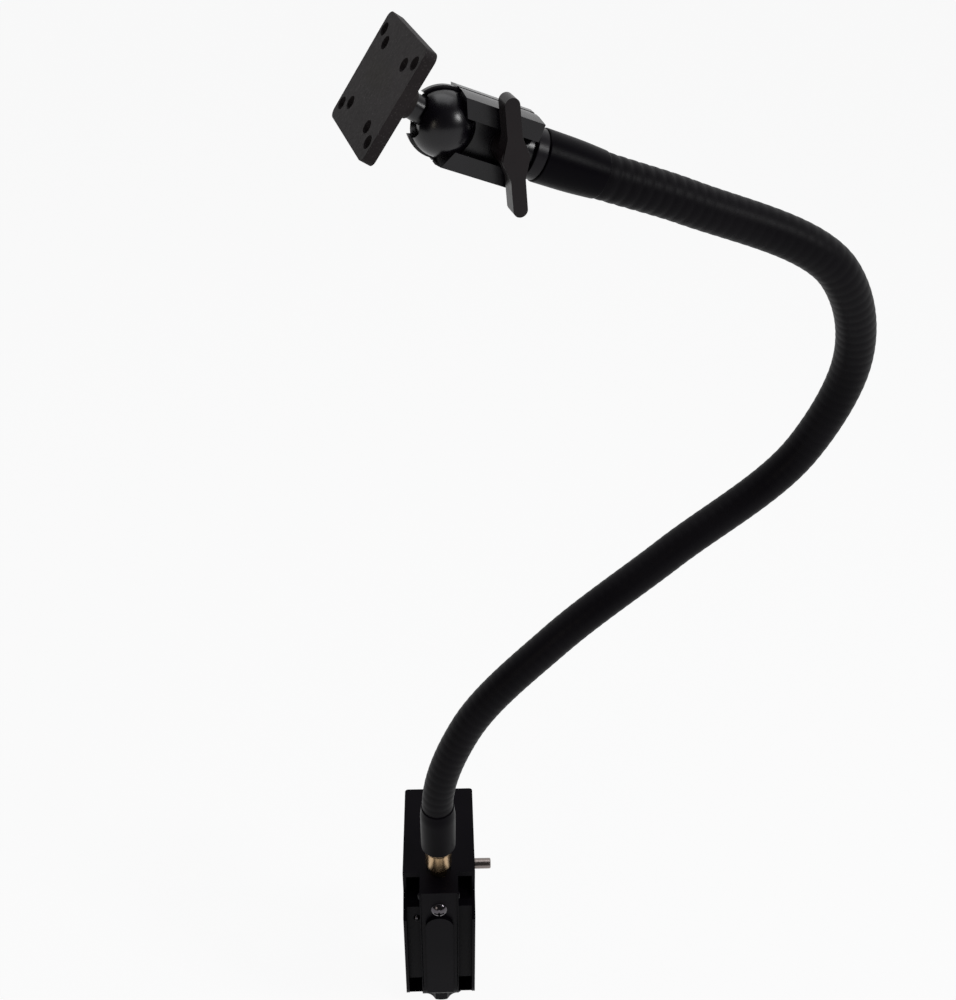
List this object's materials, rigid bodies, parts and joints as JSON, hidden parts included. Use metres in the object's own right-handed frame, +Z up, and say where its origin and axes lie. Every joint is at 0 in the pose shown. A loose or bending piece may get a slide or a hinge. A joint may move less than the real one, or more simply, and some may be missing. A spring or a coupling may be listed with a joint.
{
  "type": "flexible clamp arm",
  "caption": "Table clamp with a bendable gooseneck arm that carries a ball joint, a wing knob and a small drilled plate for holding a phone or tablet.",
  "frame": {"origin": "on the arm's swivel axis, where the upper jaw's rubber pad meets the table top", "axes": "+Z up along the swivel stud, -Y the clamp's spine, +Y the jaws' reach over the table, +X the side of the locking pin"},
  "size_m": [0.2469, 0.1323, 0.6599],
  "materials": {
    "moulded_black": "satin black glass-filled moulding",
    "rubber": "matte black rubber",
    "chrome_screw": "polished chrome plating",
    "steel": "plain bright steel",
    "zinc": "zinc plated steel",
    "adapter_yellow": "polished yellow plating, brighter round the rim",
    "ring_dark": "glossy blackened steel",
    "sleeve_black": "satin black sleeve",
    "core_steel": "wound spring steel",
    "sheath_black": "satin black ribbed flexible sheath",
    "socket_black": "glossy black moulding",
    "knob_black": "satin black moulding",
    "brass": "turned brass",
    "plate_charcoal": "matte charcoal grey, rubbed lighter at the corners"
  },
  "bodies": {
    "clamp": {"clamp_body": "moulded_black", "jaw_pad": "rubber", "lock_screw": "chrome_screw", "side_screw": "chrome_screw", "threaded_bush": "zinc"},
    "pin": {"cross_pin": "steel"},
    "foot": {"foot_cup": "moulded_black", "foot_face": "rubber", "foot_ring": "steel"},
    "spindle": {"clamp_spindle": "steel", "turning_knob": "moulded_black"},
    "arm_base": {"stud_adapter": "adapter_yellow", "lower_collar": "sleeve_black"},
    "arm_head": {"gooseneck_core": "core_steel", "gooseneck_sheath": "sheath_black", "upper_collar": "sleeve_black", "head_fitting": "zinc", "ferrule_ring": "ring_dark", "socket_base": "socket_black", "socket_bolt": "zinc", "socket_spring": "steel"},
    "cap": {"socket_cap": "socket_black", "knob_washer": "ring_dark"},
    "knob": {"wing_knob": "knob_black", "knob_insert": "brass"},
    "ball": {"ball_stud": "socket_black"},
    "plate": {"mounting_plate": "plate_charcoal"}
  },
  "joints": [
    {"name": "pin_pull", "type": "slide", "parent": "clamp", "child": "pin", "axis": [1, 0, 0], "range_m": [0, 0.015]},
    {"name": "foot_travel", "type": "slide", "parent": "clamp", "child": "foot", "axis": [0, 0, 1], "range_m": [-0.02, 0.028]},
    {"name": "spindle_turn", "type": "hinge", "parent": "foot", "child": "spindle", "pos_m": [0, 0.033, -0.06], "axis": [0, 0, 1], "range_deg": [-4801, 6721]},
    {"name": "arm_swivel", "type": "hinge", "parent": "clamp", "child": "arm_base", "pos_m": [0, 0, 0.02], "axis": [0, 0, 1], "continuous": true},
    {"name": "arm_bend", "type": "hinge", "parent": "arm_base", "child": "arm_head", "pos_m": [0.016, 0.0025, 0.1395], "axis": [0, 1, 0], "range_deg": [-25, 25], "deforming": ["gooseneck_sheath", "gooseneck_core"]},
    {"name": "cap_open", "type": "slide", "parent": "arm_head", "child": "cap", "axis": [0.2572, -0.9651, -0.0489], "range_m": [0, 0.002]},
    {"name": "knob_turn", "type": "hinge", "parent": "cap", "child": "knob", "pos_m": [0.02808, -0.03173, 0.47754], "axis": [0.2572, -0.9651, -0.0489], "range_deg": [0, 721]},
    {"name": "ball_lean", "type": "hinge", "parent": "arm_head", "child": "ball", "pos_m": [0.0069, -0.0378, 0.486], "axis": [0.2572, -0.9651, -0.0489], "range_deg": [-3.6, 27.3]},
    {"name": "plate_turn", "type": "hinge", "parent": "ball", "child": "plate", "pos_m": [0.0069, -0.0378, 0.486], "axis": [0.7852, 0.3077, -0.5373], "continuous": true}
  ],
  "couplings": [
    {"joint": "spindle_turn", "follows": "foot_travel", "rad_per_m": 4188.8},
    {"joint": "knob_turn", "follows": "cap_open", "rad_per_m": 6283.2}
  ]
}
